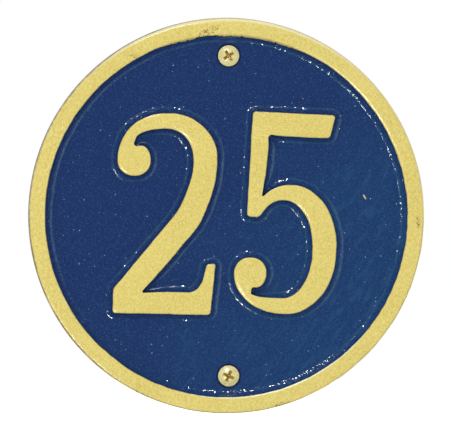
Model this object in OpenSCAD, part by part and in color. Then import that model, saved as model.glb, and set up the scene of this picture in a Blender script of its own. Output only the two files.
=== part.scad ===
// Round cast wall plaque with a raised rim and a raised house number, held by two wall screws.
// Millimetres. +Z is up, the face looks towards -Y, and the origin is the middle of the flat back.
// Every piece is drawn lying on its back, with the face up, and turned upright at the end.

/* [Plate] */

// Diameter over the outer edge, which is widest at the back.
outer_diameter = 152.4; // [145:0.1:200]
// Height of the rim's face above the back.
rim_height = 8.2; // [6.5:0.1:12]
// Height of the recessed field above the back.
field_height = 5; // [4:0.1:6]
// Width of the rim's face, from the outer wall to the inner wall.
rim_width = 6.2; // [4:0.1:10]
// Slope of the outer wall, so that the casting leaves the sand.
outer_draft = 3; // [1:0.5:6]
// Rounding of the rim's outer edge.
outer_edge_radius = 0.9; // [0.3:0.1:1.5]
// Rounding of the edge at the back.
back_edge_radius = 0.4; // [0.2:0.1:0.8]

/* [Relief] */

// Slope of the walls of the numerals and of the rim's inner wall.
relief_draft = 14; // [6:1:20]
// Rounding of the top edges of the numerals and of the rim's inner edge.
relief_edge_radius = 0.7; // [0.2:0.05:1]
// Fillet between these walls and the field.
relief_fillet = 3; // [1:0.1:3.6]

/* [Numerals] */

// Height of the numerals.
numeral_height = 76; // [50:0.5:92]
// Width of the numerals.
numeral_width = 38; // [26:0.5:46]
// Distance between the two numerals.
numeral_gap = 8.8; // [7:0.1:12]
// How far the pair stands above the middle of the plate.
numeral_rise = 1; // [-4:0.1:4]
// Lean of the left numeral, clockwise, as the pattern was set.
left_lean = 1.3; // [-4:0.1:4]
// Lean of the right numeral, clockwise.
right_lean = 2.6; // [-4:0.1:4]

/* [Screws] */

// Flat left between a countersink and the fillet of the rim.
screw_margin = 0.2; // [0.1:0.1:10]
// How far the two screws stand to the right of the middle.
screw_offset = 0.9; // [-3:0.1:3]
// Diameter over the thread.
thread_diameter = 4.17; // [3:0.01:5.1]
// Length of the thread with its point.
thread_length = 21; // [12:0.5:25]
// Diameter of the plain neck between the head and the thread.
neck_diameter = 3.4; // [2.4:0.1:4.1]
// Length of the screw below the rim of its head.
screw_length = 31.75; // [20:0.25:50]
// Diameter of the head.
head_diameter = 8.1; // [7:0.1:10]
// Angle of the head's cone and of the countersink.
head_angle = 82; // [80:1:100]
// Height of the flat band round the head.
head_band = 0.25; // [0.1:0.05:0.5]
// Height of the dome above the band.
dome_height = 1.4; // [0.6:0.1:2]
// Length of the point.
point_length = 5; // [3:0.5:8]
// Span of the cross recess from arm to arm.
recess_span = 4.4; // [3:0.1:5]
// Width of an arm of the cross recess.
recess_arm = 1.15; // [0.8:0.05:1.6]
// Depth of the cross recess below the top of the dome.
recess_depth = 2.3; // [1.5:0.1:2.8]
// Turn of the upper screw's recess, anticlockwise.
upper_recess_turn = 32; // [0:1:90]
// Turn of the lower screw's recess, anticlockwise.
lower_recess_turn = 66; // [0:1:90]

/* [Fits] */

// Clearance between the thread and the hole that it passes, all round.
thread_clearance = 0.35; // [0.2:0.05:0.8]
// Clearance between the head's band and the mouth of the countersink, all round.
mouth_clearance = 0.6; // [0.2:0.05:1]
// Gap along the axis between the head's cone and the countersink.
seat_gap = 0.15; // [0.1:0.05:0.3]

/* [Hidden] */

outer_radius = outer_diameter / 2;
relief_height = rim_height - field_height;
// How far a top edge's rounding reaches, outwards and down its wall alike.
top_reach = relief_edge_radius * tan(45 - relief_draft / 2);
// The fillet at the foot is no larger than its wall allows.
foot_reach = min(
    relief_fillet * tan(45 - relief_draft / 2),
    0.95 * relief_height / cos(relief_draft) - top_reach
);
foot_fillet = foot_reach / tan(45 - relief_draft / 2);
// The fillet stands this little above the field, so that it ends in a clean edge.
foot_step = 0.03;
// The numerals reach this far into the plate.
root_depth = 0.4;
numeral_spacing = numeral_width + numeral_gap;
// In a hollow corner a wall's foot takes this share of the room that it has.
corner_share = 0.75;
// Size that the numerals' outlines are drawn at, and their middle.
drawn_size = [38, 76.2];
drawn_middle = [19.5, 38.1];
// A cut of this length takes what its edge has left.
REST = 99;
// Cuts take at most this share of an edge, so that no two points fall together.
straight_share = 0.97;
// Share of a corner's legs that gives a round curve.
ROUND = 0.5523;
mouth_radius = head_diameter / 2 + mouth_clearance;
// Radius at which the rim's inner wall would meet the field without its fillet.
inner_foot = outer_radius - rim_height * tan(outer_draft) - rim_width - relief_height * tan(relief_draft);
screw_radius = inner_foot - foot_reach - screw_margin - mouth_radius;
thread_radius = thread_diameter / 2;
neck_radius = neck_diameter / 2;
hole_radius = thread_radius + thread_clearance;
// Flat left at the tip of the screw, as a radius.
tip_radius = 0.2;
// Steps in which the head's dome is turned.
dome_steps = 6;
// Height of the head's widest circle above the back, where its cone ends.
head_rim_height = field_height - mouth_clearance / tan(head_angle / 2) + seat_gap;
dome_radius = (pow(head_diameter / 2, 2) + dome_height * dome_height) / (2 * dome_height);

// Rounded profiles

function unit(v) = v / norm(v);

// The points of an arc that rounds corner b between a and c.
function rounded(a, b, c, r, n) =
    let (
        u = unit(a - b),
        v = unit(c - b),
        half = acos(u * v) / 2,
        middle = b + unit(u + v) * r / sin(half),
        first = b + u * r / tan(half) - middle,
        last = b + v * r / tan(half) - middle,
        start = atan2(first[1], first[0]),
        turn = (atan2(last[1], last[0]) - start + 540) % 360 - 180
    )
    [for (k = [0:n]) middle + r * [cos(start + turn * k / n), sin(start + turn * k / n)]];

// Section of the plate from its axis outwards, as radius and height.
plate_section = let (
    axis_back = [0, 0],
    back = [outer_radius, 0],
    outer_top = [outer_radius - rim_height * tan(outer_draft), rim_height],
    inner_top = outer_top - [rim_width, 0],
    foot = [inner_foot, field_height],
    axis_front = [0, field_height]
) concat(
    [axis_back],
    rounded(axis_back, back, outer_top, back_edge_radius, 4),
    rounded(back, outer_top, inner_top, outer_edge_radius, 6),
    rounded(outer_top, inner_top, foot, relief_edge_radius, 4),
    rounded(inner_top, foot, axis_front, foot_fillet, 6),
    [axis_front]
);

// Outlines of the numerals

// A numeral is one broad stroke. Each of its sides is a chain of corners, given as
// [x, y, cut before, cut after, steps]. The first and last only give a direction.
two_left = [[7.2, 53], [1.4, 53, 5.3, 5.2, 5], [1, 76.2, REST, REST, 12], [38.4, 76.2, REST, REST, 10],
    [38.4, 42, REST, 14, 7], [10.6, 7.4, 1.5, 1.5, 4], [34, 7.4, 5, 6.5, 6], [36.2, 18.4, 0.4, 0.4, 2],
    [37.5, 18.5]];
two_right = [[7.2, 53], [12.8, 53, 5.3, 5.2, 5], [12.6, 63.8, 4.6, 3.6, 5], [6.4, 63.6, 1.8, 1.6, 4],
    [8.4, 71.4, 4.6, REST, 7], [30.4, 71.4, REST, REST, 10], [30.4, 46, REST, 12, 7],
    [0.6, 8.4, 1, 1, 2], [0.6, 0, 0.6, 0.6, 2], [37, 0, 0.7, 0.7, 2], [38.6, 18.6, 0.5, 0.4, 2],
    [37.5, 18.5]];
five_left = [[34.8, 72.2], [34, 68.4, 0.6, 0.6, 2], [10.8, 68.4, 1.5, 1.5, 4], [9.4, 43.6, 1.4, 1.4, 4],
    [14.6, 48.6, 4, 6, 5], [38.4, 48.6, REST, REST, 10], [38.4, 0, REST, REST, 10],
    [0.8, 0, REST, REST, 12], [0.8, 20, 5.3, 5.3, 5], [6.4, 20]];
five_right = [[34.8, 72.2], [35.6, 76.2, 0.6, 0.6, 2], [5.2, 76.2, 0.6, 0.6, 2], [4.6, 36.8, 0.7, 0.7, 2],
    [8.4, 36.8, 0.7, 0.7, 2], [13.6, 43.8, 4, 4, 4], [30.4, 43.8, REST, REST, 10],
    [30.4, 4.8, REST, REST, 10], [7, 4.8, REST, 2, 6], [6.6, 9.4, 1.6, 1.6, 4], [12, 9.4, 3.4, 5.3, 5],
    [12, 20, 5.3, 5.3, 5], [6.4, 20]];

function at(v, i) = [v[i][0], v[i][1]];

// How much of the edge from corner i to the next one each of its two corners takes.
function cuts(v, i) =
    let (
        room = straight_share * norm(at(v, i + 1) - at(v, i)),
        a = i == 0 ? 0 : v[i][3],
        b = i == len(v) - 2 ? 0 : v[i + 1][2]
    )
    a == REST && b == REST ? [room / 2, room / 2]
    : a == REST ? [room - b, b]
    : b == REST ? [a, room - a]
    : a + b > room ? [a, b] * room / (a + b)
    : [a, b];

function bend(s, p, e, t) =
    let (g = s + (p - s) * ROUND, h = e + (p - e) * ROUND, u = 1 - t)
    u * u * u * s + 3 * u * u * t * g + 3 * u * t * t * h + t * t * t * e;

function hollow_corner(v, i, hand) =
    i > 0 && i < len(v) - 1
    && hand * cross(at(v, i) - at(v, i - 1), at(v, i + 1) - at(v, i)) > 0;

// Points along a straight run, close to the hollow corners, where the walls run together.
function run_points(v, i, hand) =
    let (
        a = at(v, i), b = at(v, i + 1), u = unit(b - a), c = cuts(v, i),
        start = a + u * c[0], run = norm(b - a) - c[0] - c[1]
    )
    run < 7 ? []
    : concat(
        hollow_corner(v, i, hand) ? [for (d = [0.9, 2.1, 3.8]) start + u * d] : [],
        run > 14 && hollow_corner(v, i + 1, hand) ? [for (d = [3.8, 2.1, 0.9]) start + u * (run - d)] : []
    );

// One side of the stroke; hand is 1 for its left side and -1 for its right side.
function side(v, hand) = [
    for (i = [1:len(v) - 2])
        let (
            p = at(v, i),
            s = p + unit(at(v, i - 1) - p) * cuts(v, i - 1)[1],
            e = p + unit(at(v, i + 1) - p) * cuts(v, i)[0]
        )
        for (q = concat(
            [for (k = [0:v[i][4]]) bend(s, p, e, k / v[i][4])],
            i < len(v) - 2 ? run_points(v, i, hand) : []
        )) q
];

function sized(points) = [
    for (p = points) [
        (p[0] - drawn_middle[0]) * numeral_width / drawn_size[0],
        (p[1] - drawn_middle[1]) * numeral_height / drawn_size[1]
    ]
];

// Lofted walls

function outward(loop) = [
    for (i = [0:len(loop) - 1])
        let (
            n = len(loop),
            t = unit(loop[(i + 1) % n] - loop[i]) + unit(loop[i] - loop[(i + n - 1) % n])
        )
        unit([-t[1], t[0]])
];

// Room beside each point before its wall would meet another wall's foot.
function wall_room(loop, normal, i) = min([
    for (p = loop)
        let (v = p - loop[i], q = v * normal[i])
        q > 0.001 * norm(v) + 0.000001 ? v * v / (2 * q) : 1000
]);

// Section of a numeral's wall from its foot up, as reach and height above the field.
wall_section = let (
    foot = [top_reach + relief_height * tan(relief_draft), 0],
    brow = [top_reach, relief_height],
    curve = rounded([9, 0], foot, brow, foot_fillet, 4),
    edge = rounded(foot, brow, [-9, relief_height], relief_edge_radius, 2)
) concat(
    [[0, -root_depth], [curve[0][0], -root_depth], [curve[0][0], foot_step]],
    [for (k = [1:4]) curve[k]],
    [for (k = [0:2]) edge[k]]
);

// Triangles between two sides, a step at a time along whichever diagonal is shorter.
function faces_down(a, b, c) = cross(b - a, c - a) < -0.000001;
function zip(l, r, i = 0, j = 0) =
    let (more_l = i < len(l) - 1, more_r = j < len(r) - 1)
    !more_l && !more_r ? []
    : let (
        l_fits = more_l && faces_down(l[i], l[i + 1], r[j]),
        r_fits = more_r && faces_down(l[i], r[j + 1], r[j]),
        step_l = !more_r || (l_fits && (!r_fits || norm(l[i + 1] - r[j]) <= norm(l[i] - r[j + 1])))
    )
    step_l
    ? concat([[i, i + 1, -1 - j]], zip(l, r, i + 1, j))
    : concat([[i, -2 - j, -1 - j]], zip(l, r, i, j + 1));

module numeral(left_corners, right_corners) {
    l = sized(side(left_corners, 1));
    r = sized(side(right_corners, -1));
    loop = concat(l, [for (k = [len(r) - 1:-1:0]) r[k]]);
    n = len(loop);
    normal = outward(loop);
    reach = wall_section[1][0];
    share = [
        for (i = [0:n - 1])
            pow(1 + pow(reach / (corner_share * wall_room(loop, normal, i)), 6), -1 / 6)
    ];
    rings = len(wall_section);
    points = [
        for (w = wall_section, i = [0:n - 1])
            let (p = loop[i] + normal[i] * share[i] * w[0])
            [p[0], p[1], field_height + w[1]]
    ];
    cap = [for (t = zip(l, r)) [for (k = t) k >= 0 ? k : n + k]];
    top = (rings - 1) * n;
    polyhedron(points, concat(
        [for (t = cap) [t[2], t[1], t[0]]],
        [for (t = cap) [top + t[0], top + t[1], top + t[2]]],
        [
            for (k = [0:rings - 2], i = [0:n - 1])
                let (a = k * n + i, b = k * n + (i + 1) % n)
                for (t = [[a, b, b + n], [a, b + n, a + n]]) t
        ]
    ));
}

// Pieces

module at_screws() {
    for (side = [1, -1])
        translate([screw_offset, side * screw_radius, 0])
            rotate([0, 0, side > 0 ? upper_recess_turn : lower_recess_turn]) children();
}

// Hole with its countersink, which is carried on above the field.
module screw_hole() {
    over = 2;
    depth = (mouth_radius - hole_radius) / tan(head_angle / 2);
    translate([0, 0, -1]) cylinder(h = field_height + 2, r = hole_radius, $fn = 48);
    translate([0, 0, field_height - depth]) cylinder(
        h = depth + over, r1 = hole_radius, r2 = mouth_radius + over * tan(head_angle / 2), $fn = 48
    );
}

module plaque() {
    color("#24406a") rotate([90, 0, 0]) difference() {
        union() {
            rotate_extrude($fn = 180) polygon(plate_section);
            translate([-numeral_spacing / 2, numeral_rise, 0]) rotate([0, 0, -left_lean])
                numeral(two_left, two_right);
            translate([numeral_spacing / 2, numeral_rise, 0]) rotate([0, 0, -right_lean])
                numeral(five_left, five_right);
        }
        at_screws() screw_hole();
    }
}

// Oval head wall screw with its point down. Its head sits in the countersink.
module screw() {
    head_radius = head_diameter / 2;
    top = head_rim_height + head_band + dome_height;
    cone_height = (head_radius - neck_radius) / tan(head_angle / 2);
    tip = head_rim_height + head_band - screw_length;
    thread_top = tip + thread_length;
    runout = thread_radius - neck_radius;
    dome_middle = top - dome_radius;
    half_dome = asin(head_radius / dome_radius);
    difference() {
        rotate_extrude($fn = 48) polygon(concat(
            [
                [0, tip], [tip_radius, tip], [thread_radius, tip + point_length],
                [thread_radius, thread_top - runout], [neck_radius, thread_top],
                [neck_radius, head_rim_height - cone_height], [head_radius, head_rim_height]
            ],
            [
                for (k = [0:dome_steps - 1])
                    let (a = half_dome * (1 - k / dome_steps))
                    [dome_radius * sin(a), dome_middle + dome_radius * cos(a)]
            ],
            [[0, top]]
        ));
        recess(top);
    }
}

// Cross recess, four arms that narrow towards the bottom.
module recess(top) {
    floor_half = recess_span / 4;
    mouth_half = recess_span / 2;
    above = 1;
    wall_depth = 0.8 * recess_depth;
    flare_half = mouth_half + above * (mouth_half - floor_half) / wall_depth;
    arm = [
        [0, top - recess_depth], [floor_half, top - wall_depth], [flare_half, top + above],
        [-flare_half, top + above], [-floor_half, top - wall_depth]
    ];
    for (turn = [0, 90]) rotate([90, 0, turn])
        translate([0, 0, -recess_arm / 2]) linear_extrude(recess_arm) polygon(arm);
}

module wall_screws() {
    color("#c9a227") rotate([90, 0, 0]) at_screws() screw();
}

plaque();
wall_screws();
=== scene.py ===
"""Round cast wall plaque with a raised house number: the painted casting and its two brass wall screws."""

import math

import bmesh
import bpy
import numpy as np
from mathutils import Matrix, Vector, noise
from mathutils.geometry import delaunay_2d_cdt


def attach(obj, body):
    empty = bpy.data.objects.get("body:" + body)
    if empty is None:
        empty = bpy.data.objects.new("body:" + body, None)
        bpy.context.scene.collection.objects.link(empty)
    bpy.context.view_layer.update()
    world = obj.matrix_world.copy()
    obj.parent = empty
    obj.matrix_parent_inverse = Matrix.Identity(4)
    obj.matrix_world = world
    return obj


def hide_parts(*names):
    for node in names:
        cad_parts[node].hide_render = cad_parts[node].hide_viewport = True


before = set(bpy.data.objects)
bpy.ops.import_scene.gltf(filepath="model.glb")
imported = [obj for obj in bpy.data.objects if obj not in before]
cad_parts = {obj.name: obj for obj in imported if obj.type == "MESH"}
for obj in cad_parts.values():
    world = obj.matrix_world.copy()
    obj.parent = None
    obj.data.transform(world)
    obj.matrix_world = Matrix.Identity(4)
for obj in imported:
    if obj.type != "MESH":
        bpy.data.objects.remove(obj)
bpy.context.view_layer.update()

# Sizes, in millimetres. Everything is drawn lying on its back, as x, y and height above the back.
OUTER_RADIUS = 76.2
RIM_HEIGHT = 8.2
FIELD_HEIGHT = 5.0
RIM_WIDTH = 6.2
OUTER_DRAFT = math.radians(3)
OUTER_EDGE_RADIUS = 0.9
BACK_EDGE_RADIUS = 0.4
RELIEF_DRAFT = math.radians(14)
RELIEF_EDGE_RADIUS = 0.7
RELIEF_FILLET = 3.0
RELIEF_HEIGHT = RIM_HEIGHT - FIELD_HEIGHT
TOP_REACH = RELIEF_EDGE_RADIUS * math.tan(math.radians(45) - RELIEF_DRAFT / 2)
INNER_FOOT = (
    OUTER_RADIUS - RIM_HEIGHT * math.tan(OUTER_DRAFT) - RIM_WIDTH - RELIEF_HEIGHT * math.tan(RELIEF_DRAFT)
)
MOUTH_RADIUS = 4.65
HOLE_RADIUS = 2.435
HEAD_ANGLE = math.radians(82)

# The two screws: place, turn of the recess in degrees, and sizes
SCREW_OFFSET = 0.9
SCREW_RISE = 61.579
SCREW_PLACES = {
    "upper_screw": (SCREW_OFFSET, SCREW_RISE, 32),
    "lower_screw": (SCREW_OFFSET, -SCREW_RISE, 66),
}
SCREW_TOP = 6.11
HEAD_RADIUS = 4.05
HEAD_RIM = 4.46
DOME_RADIUS = 6.558
NECK_RADIUS = 1.7
CORE_RADIUS = 1.45
CREST_RADIUS = 2.085
THREAD_TOP = -6.04
TIP = -27.04
POINT_LENGTH = 5.0
PITCH = 1.6

# Outlines of the numerals. Each side of a stroke is a chain of corners, as x, y, cut before, cut after.
# The first and last corner only give a direction, and REST takes what an edge has left. ROUND is the
# curve's handle as a share of the cut, and CORNER_SHARE the part of a tight corner that a wall may fill.
REST = 99.0
ROUND = 0.5523
CORNER_SHARE = 0.75
OUTLINE_MIDDLE = (19.5, 38.1)
OUTLINE_SCALE = (1, 76 / 76.2)
TWO_LEFT = [
    (7.2, 53), (1.4, 53, 5.3, 5.2), (1, 76.2, REST, REST), (38.4, 76.2, REST, REST), (38.4, 42, REST, 14),
    (10.6, 7.4, 1.5, 1.5), (34, 7.4, 5, 6.5), (36.2, 18.4, 0.4, 0.4), (37.5, 18.5),
]
TWO_RIGHT = [
    (7.2, 53), (12.8, 53, 5.3, 5.2), (12.6, 63.8, 4.6, 3.6), (6.4, 63.6, 1.8, 1.6), (8.4, 71.4, 4.6, REST),
    (30.4, 71.4, REST, REST), (30.4, 46, REST, 12), (0.6, 8.4, 1, 1), (0.6, 0, 0.6, 0.6), (37, 0, 0.7, 0.7),
    (38.6, 18.6, 0.5, 0.4), (37.5, 18.5),
]
FIVE_LEFT = [
    (34.8, 72.2), (34, 68.4, 0.6, 0.6), (10.8, 68.4, 1.5, 1.5), (9.4, 43.6, 1.4, 1.4), (14.6, 48.6, 4, 6),
    (38.4, 48.6, REST, REST), (38.4, 0, REST, REST), (0.8, 0, REST, REST), (0.8, 20, 5.3, 5.3), (6.4, 20),
]
FIVE_RIGHT = [
    (34.8, 72.2), (35.6, 76.2, 0.6, 0.6), (5.2, 76.2, 0.6, 0.6), (4.6, 36.8, 0.7, 0.7),
    (8.4, 36.8, 0.7, 0.7), (13.6, 43.8, 4, 4), (30.4, 43.8, REST, REST), (30.4, 4.8, REST, REST),
    (7, 4.8, REST, 2), (6.6, 9.4, 1.6, 1.6), (12, 9.4, 3.4, 5.3), (12, 20, 5.3, 5.3), (6.4, 20),
]
NUMERALS = [
    {"left": TWO_LEFT, "right": TWO_RIGHT, "middle": (-23.4, 1.0), "lean": 1.3},
    {"left": FIVE_LEFT, "right": FIVE_RIGHT, "middle": (23.4, 1.0), "lean": 2.6},
]

# Finish of the casting: width and radius of a numeral's soft shoulder, how far the sand let a point
# wander over a broad and a fine distance, that wander's seed, and how high the outer wall is bare
NUMERAL_SHOULDER = (1.1, 4.5)
BROAD_WANDER = (0.16, 0.16, 0.05)
FINE_WANDER = (0.07, 0.07, 0.02)
WANDER_SEED = 7
BARE_WALL = 6.9


def smooth_step(value, low, high):
    t = np.clip((value - low) / (high - low), 0, 1)
    return t * t * (3 - 2 * t)


def upright(points):
    """Points drawn lying, in millimetres, as points of the hung plaque, in metres."""
    p = np.asarray(points, float)
    return np.stack([p[:, 0], -p[:, 2], p[:, 1]], 1) / 1000


def rounded(a, b, c, radius, steps):
    """The points of an arc that rounds corner b between a and c."""
    a, b, c = (np.array(p, float) for p in (a, b, c))
    u = (a - b) / np.linalg.norm(a - b)
    v = (c - b) / np.linalg.norm(c - b)
    half = math.acos(float(u @ v)) / 2
    middle = b + (u + v) / np.linalg.norm(u + v) * radius / math.sin(half)
    first = b + u * radius / math.tan(half) - middle
    last = b + v * radius / math.tan(half) - middle
    start = math.atan2(first[1], first[0])
    turn = (math.atan2(last[1], last[0]) - start + 3 * math.pi) % (2 * math.pi) - math.pi
    angles = [start + turn * k / steps for k in range(steps + 1)]
    return [middle + radius * np.array([math.cos(t), math.sin(t)]) for t in angles]


def between(a, b, steps):
    """Points strictly between a and b."""
    return [np.array(a) + (np.array(b) - np.array(a)) * k / steps for k in range(1, steps)]


def joined(*runs):
    """Runs of a section, with points set in between wherever two runs are far apart."""
    section = list(runs[0])
    for run in runs[1:]:
        gap = float(np.linalg.norm(run[0] - section[-1]))
        section += between(section[-1], run[0], max(1, round(gap / 0.7)))
        section += list(run)
    return section


def plate_section():
    """Section of the plate from the back's edge over the rim to the field, as radius and height."""
    back = (OUTER_RADIUS, 0)
    outer_top = (OUTER_RADIUS - RIM_HEIGHT * math.tan(OUTER_DRAFT), RIM_HEIGHT)
    inner_top = (outer_top[0] - RIM_WIDTH, RIM_HEIGHT)
    foot = (INNER_FOOT, FIELD_HEIGHT)
    return joined(
        rounded((0, 0), back, outer_top, BACK_EDGE_RADIUS, 4),
        rounded(back, outer_top, inner_top, OUTER_EDGE_RADIUS, 8),
        rounded(outer_top, inner_top, foot, RELIEF_EDGE_RADIUS, 6),
        rounded(inner_top, foot, (0, FIELD_HEIGHT), RELIEF_FILLET, 12),
    )


def wall_section():
    """Section of a numeral's wall from its foot up, as reach and height."""
    foot = (TOP_REACH + RELIEF_HEIGHT * math.tan(RELIEF_DRAFT), FIELD_HEIGHT)
    brow = (TOP_REACH, RIM_HEIGHT)
    return joined(
        rounded((9, FIELD_HEIGHT), foot, brow, RELIEF_FILLET, 12),
        rounded(foot, brow, (-9, RIM_HEIGHT), RELIEF_EDGE_RADIUS, 5),
    )


def stroke_side(corners, spacing):
    """Points along one side of a stroke."""
    taken = [[0.0, 0.0] for _ in corners]
    for i in range(len(corners) - 1):
        room = 0.97 * math.dist(corners[i][:2], corners[i + 1][:2])
        after = corners[i][3] if i else 0.0
        before = corners[i + 1][2] if i < len(corners) - 2 else 0.0
        if after == REST and before == REST:
            after = before = room / 2
        elif after == REST:
            after = room - before
        elif before == REST:
            before = room - after
        elif after + before > room:
            after, before = after * room / (after + before), before * room / (after + before)
        taken[i][1], taken[i + 1][0] = after, before
    points = []
    for i in range(1, len(corners) - 1):
        corner = np.array(corners[i][:2])
        back = np.array(corners[i - 1][:2]) - corner
        ahead = np.array(corners[i + 1][:2]) - corner
        start = corner + back / np.linalg.norm(back) * taken[i][0]
        end = corner + ahead / np.linalg.norm(ahead) * taken[i][1]
        g = start + (corner - start) * ROUND
        h = end + (corner - end) * ROUND
        if points:
            points += between(points[-1], start, max(1, math.ceil(math.dist(start, points[-1]) / spacing)))
        length = 0.85 * (math.dist(start, corner) + math.dist(corner, end))
        steps = max(3, math.ceil(length / spacing))
        for k in range(steps + 1):
            t = k / steps
            u = 1 - t
            points.append(u ** 3 * start + 3 * u * u * t * g + 3 * u * t * t * h + t ** 3 * end)
    return np.array(points)


def numeral_rings(numeral, spacing=0.5):
    """The rings of a numeral's wall from its foot up to its flat face."""
    left = stroke_side(numeral["left"], spacing)
    right = stroke_side(numeral["right"], spacing)
    loop = (np.vstack([right, left[::-1]]) - OUTLINE_MIDDLE) * OUTLINE_SCALE
    ahead = np.roll(loop, -1, 0) - loop
    ahead /= np.linalg.norm(ahead, axis=1)[:, None]
    along = ahead + np.roll(ahead, 1, 0)
    along /= np.linalg.norm(along, axis=1)[:, None]
    outward = np.stack([along[:, 1], -along[:, 0]], 1)
    apart = loop[None] - loop[:, None]
    towards = (apart * outward[:, None]).sum(2)
    square = (apart ** 2).sum(2)
    facing = towards > 0.001 * np.sqrt(square) + 1e-6
    room = np.where(facing, square / (2 * np.maximum(towards, 1e-9)), 1000).min(1)
    section = wall_section()
    sharpness = 6
    share = (1 + (section[0][0] / (CORNER_SHARE * room)) ** sharpness) ** (-1 / sharpness)
    lean = -math.radians(numeral["lean"])
    turn = np.array([[math.cos(lean), math.sin(lean)], [-math.sin(lean), math.cos(lean)]])
    rings = []
    for reach, height in section:
        flat = (loop + outward * (share * reach)[:, None]) @ turn + numeral["middle"]
        rings.append(np.column_stack([flat, np.full(len(flat), height)]))
    return rings


def inside(points, loop):
    """Which of the points lie inside a closed outline."""
    a = loop
    b = np.roll(loop, -1, 0)
    x, y = points[:, :1], points[:, 1:2]
    crosses = (a[:, 1] > y) != (b[:, 1] > y)
    rise = np.where(b[:, 1] == a[:, 1], 1, b[:, 1] - a[:, 1])
    return (crosses & (x < (b[:, 0] - a[:, 0]) * (y - a[:, 1]) / rise + a[:, 0])).sum(1) % 2 == 1


# The coats of the casting, by their place in its list of materials
GLOSS, BARE, DULL = 0, 1, 2


class Casting:
    """Collects the points and faces of the casting, lying on its back."""

    def __init__(self):
        self.points = []
        self.faces = []
        self.coats = []

    def ring(self, points):
        start = len(self.points)
        self.points += [tuple(p) for p in points]
        return list(range(start, len(self.points)))

    def wall(self, rings, coat):
        """Quads between rings that follow each other, seen from outside."""
        for a, b in zip(rings, rings[1:]):
            n = len(a)
            for i in range(n):
                j = (i + 1) % n
                self.faces.append((a[i], a[j], b[j], b[i]))
                self.coats.append(coat)

    def sheet(self, outer, holes, height, spacing, coat, up=True):
        """A flat sheet with holes, filled with an even net of points, whose numbers it gives back."""
        edge = np.array([self.points[i][:2] for i in outer])
        hole_edges = [np.array([self.points[i][:2] for i in hole]) for hole in holes]
        low, high = edge.min(0), edge.max(0)
        rows = np.arange(low[1], high[1], spacing * math.sqrt(3) / 2)
        net = np.array([
            (x + spacing / 2 * (k % 2), y)
            for k, y in enumerate(rows)
            for x in np.arange(low[0], high[0], spacing)
        ])
        keep = inside(net, edge)
        for hole in hole_edges:
            keep &= ~inside(net, hole)
        net = net[keep]
        border = np.vstack([edge, *hole_edges])
        near = np.array([((border - p) ** 2).sum(1).min() for p in net])
        net = net[near > (0.5 * spacing) ** 2]
        known = [i for loop in (outer, *holes) for i in loop]
        added = self.ring([(x, y, height) for x, y in net])
        known += added
        flat = [Vector(self.points[i][:2]) for i in known]
        edges = []
        start = 0
        for loop in (outer, *holes):
            n = len(loop)
            edges += [(start + k, start + (k + 1) % n) for k in range(n)]
            start += n
        made, _, faces, origin, _, _ = delaunay_2d_cdt(flat, edges, [], 1, 1e-7)
        faces = np.array([list(f) for f in faces if len(f) == 3])
        places = np.array([tuple(p) for p in made])
        middle = places[faces].mean(1)
        keep = inside(middle, edge)
        for hole in hole_edges:
            keep &= ~inside(middle, hole)
        for face in faces[keep]:
            a, b, c = places[face]
            turns_left = (b[0] - a[0]) * (c[1] - a[1]) - (b[1] - a[1]) * (c[0] - a[0]) > 0
            indices = [known[origin[i][0]] for i in face]
            self.faces.append(tuple(indices if turns_left == up else indices[::-1]))
            self.coats.append(coat)
        return added


def circle(radius, height, count, middle=(0, 0)):
    angles = np.arange(count) * 2 * math.pi / count
    return [(middle[0] + radius * math.cos(t), middle[1] + radius * math.sin(t), height) for t in angles]


def shoulder(inset, width, radius):
    """How far a flat face has dropped at a distance inside its edge."""
    return np.maximum(0, width - inset) ** 2 / (2 * radius)


def soften_rim(points):
    """Lowers the rim's face towards both of its edges, most at the top of the outer one."""
    away = np.hypot(points[:, 0], points[:, 1])
    outer_edge = OUTER_RADIUS - RIM_HEIGHT * math.tan(OUTER_DRAFT)
    inner_edge = outer_edge - RIM_WIDTH
    at_top = smooth_step(points[:, 1], 52, 68)
    outer = shoulder(outer_edge - away, 0.8 + 0.8 * at_top, 4 - 0.4 * at_top)
    inner = shoulder(away - inner_edge, 1.5, 3.6)
    return (outer + inner) * smooth_step(points[:, 2], 6.0, 7.8) * (away > INNER_FOOT - 1)


def cast_unevenly(points):
    """Moves the points as sand does: edges wander a little and flats aren't quite flat."""
    p = np.array(points)
    p[:, 2] -= soften_rim(p)
    noise.seed_set(WANDER_SEED)
    moved = np.zeros_like(p)
    for i, (x, y, z) in enumerate(p):
        broad = noise.noise_vector(Vector((x / 9, y / 9, z / 6 + 11)))
        fine = noise.noise_vector(Vector((x / 2.6, y / 2.6, z / 2.6 + 37)))
        moved[i] = np.array(broad) * BROAD_WANDER + np.array(fine) * FINE_WANDER
    free = smooth_step(p[:, 2], 0.3, 4)
    for x, y, _ in SCREW_PLACES.values():
        free *= smooth_step(np.hypot(p[:, 0] - x, p[:, 1] - y), 5.5, 10)
    moved *= free[:, None]
    moved[:, 2] -= 0.03 * free
    return p + moved


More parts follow.
